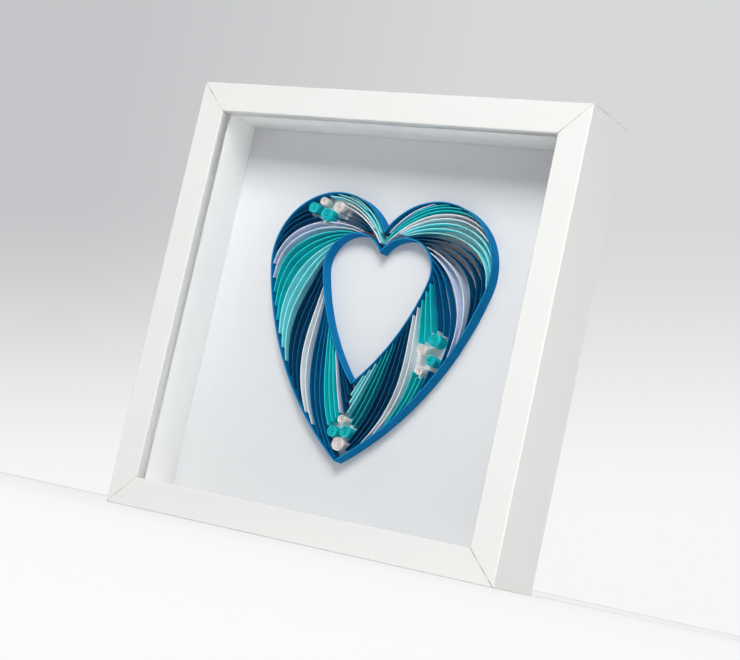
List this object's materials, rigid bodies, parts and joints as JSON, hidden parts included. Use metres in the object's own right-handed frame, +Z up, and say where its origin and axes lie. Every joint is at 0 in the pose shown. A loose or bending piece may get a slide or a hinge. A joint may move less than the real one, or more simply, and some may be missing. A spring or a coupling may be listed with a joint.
{
  "type": "framed quilled paper art",
  "caption": "Square white box frame with a glass pane over a quilled paper heart of flowing strips and coils; it stands on a shelf or hangs from a sawtooth hanger.",
  "frame": {"origin": "middle of the frame's footprint, on the surface it stands on", "axes": "+X along the bottom rail to the viewer's right, +Y from the pane to the back, +Z up"},
  "size_m": [0.25, 0.045, 0.25],
  "materials": {
    "fibre_board": "raw hard fibre board",
    "card": "matte, very pale cool grey",
    "tab_steel": "zinc-plated spring steel",
    "paper_white": "matte paper",
    "paper_turquoise": "matte dyed paper",
    "nail_steel": "bright steel",
    "paper_cerulean": "matte dyed paper",
    "pane_glass": "clear, polished",
    "rivet_steel": "zinc-plated steel",
    "frame_foil": "satin off-white foil over wood fibre",
    "hanger_steel": "zinc-plated steel",
    "spacer_board": "matte white",
    "paper_teal": "matte dyed paper",
    "paper_aqua": "matte dyed paper",
    "paper_navy": "matte dyed paper",
    "paper_grey": "matte dyed paper",
    "paper_blue": "matte dyed paper"
  },
  "bodies": {
    "root": {"back_board": "fibre_board", "backing_card": "card", "board_tabs": "tab_steel", "coil_crest_1_white": "paper_white", "coil_crest_2_turquoise": "paper_turquoise", "coil_crest_3_white": "paper_white", "coil_crest_4_turquoise": "paper_turquoise", "coil_flank_1_turquoise": "paper_turquoise", "coil_flank_2_white": "paper_white", "coil_flank_3_turquoise": "paper_turquoise", "coil_flank_4_white": "paper_white", "coil_tip_1_white": "paper_white", "coil_tip_2_turquoise": "paper_turquoise", "coil_tip_3_turquoise": "paper_turquoise", "coil_tip_4_white": "paper_white", "corner_nails": "nail_steel", "edge_strip_inner": "paper_cerulean", "edge_strip_outer": "paper_cerulean", "glass_pane": "pane_glass", "hanger_rivets": "rivet_steel", "rail_bottom": "frame_foil", "rail_left": "frame_foil", "rail_right": "frame_foil", "rail_top": "frame_foil", "sawtooth_hanger": "hanger_steel", "spacer_bottom": "spacer_board", "spacer_left": "spacer_board", "spacer_right": "spacer_board", "spacer_top": "spacer_board", "strips_left_01_teal": "paper_teal", "strips_left_02_aqua": "paper_aqua", "strips_left_03_white": "paper_white", "strips_left_04_navy": "paper_navy", "strips_left_05_grey": "paper_grey", "strips_left_06_turquoise": "paper_turquoise", "strips_left_07_aqua": "paper_aqua", "strips_left_08_navy": "paper_navy", "strips_left_09_white": "paper_white", "strips_left_10_blue": "paper_blue", "strips_left_11_turquoise": "paper_turquoise", "strips_left_12_grey": "paper_grey", "strips_left_13_navy": "paper_navy", "strips_right_01_navy": "paper_navy", "strips_right_02_grey": "paper_grey", "strips_right_03_turquoise": "paper_turquoise", "strips_right_04_white": "paper_white", "strips_right_05_aqua": "paper_aqua", "strips_right_06_navy": "paper_navy", "strips_right_07_grey": "paper_grey", "strips_right_08_blue": "paper_blue", "strips_right_09_turquoise": "paper_turquoise", "strips_right_10_white": "paper_white", "strips_right_11_navy": "paper_navy", "strips_right_12_teal": "paper_teal", "strips_right_13_aqua": "paper_aqua"}
  },
  "joints": []
}
